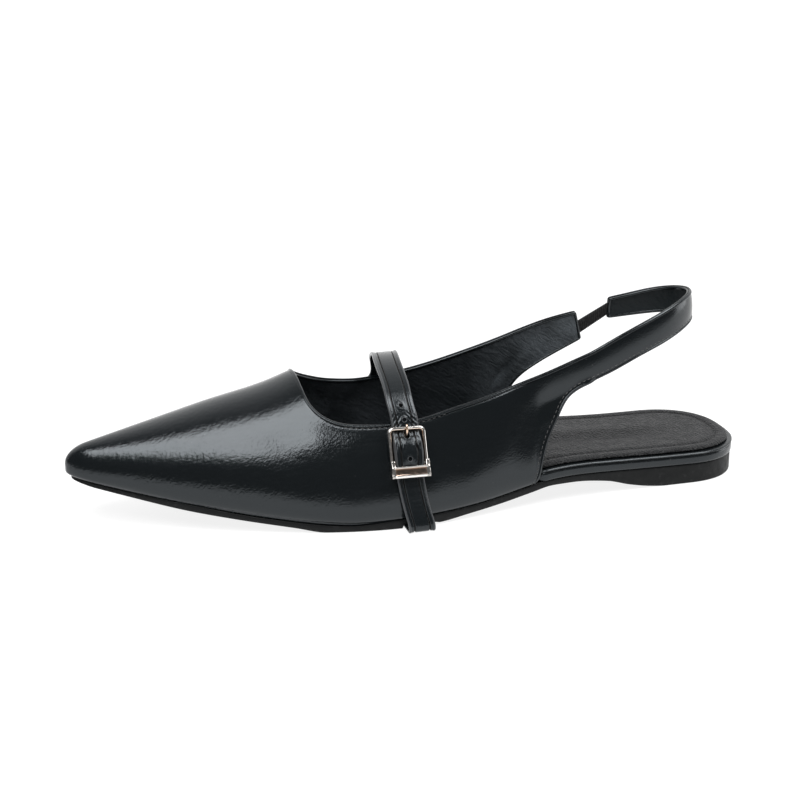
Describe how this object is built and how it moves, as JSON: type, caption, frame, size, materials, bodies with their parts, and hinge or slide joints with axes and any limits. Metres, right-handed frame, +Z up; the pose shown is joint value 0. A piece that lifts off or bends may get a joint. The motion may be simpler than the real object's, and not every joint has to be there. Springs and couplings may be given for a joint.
{
  "type": "closed-toe flat sandal",
  "caption": "Glossy black pointed-toe slingback flat with a buckled instep band, elastic in the heel strap, padded insole and low moulded heel; left shoe.",
  "frame": {"origin": "middle of the overall box, on the floor under the sole", "axes": "+X from toe to heel, +Y to the inner (medial) side, +Z up"},
  "size_m": [0.2678, 0.0864, 0.073],
  "materials": {
    "sole_rubber": "matte",
    "rand_leather": "glossy",
    "insole_leather": "satin",
    "upper_leather": "glossy",
    "elastic_weave": "matte",
    "strap_leather": "glossy",
    "buckle_metal": "polished"
  },
  "bodies": {
    "root": {"outsole": "sole_rubber", "insole_board": "rand_leather", "insole": "insole_leather", "upper": "upper_leather", "sling_elastic": "elastic_weave", "instep_strap": "strap_leather", "buckle_frame": "buckle_metal", "buckle_prong": "buckle_metal"}
  },
  "joints": []
}
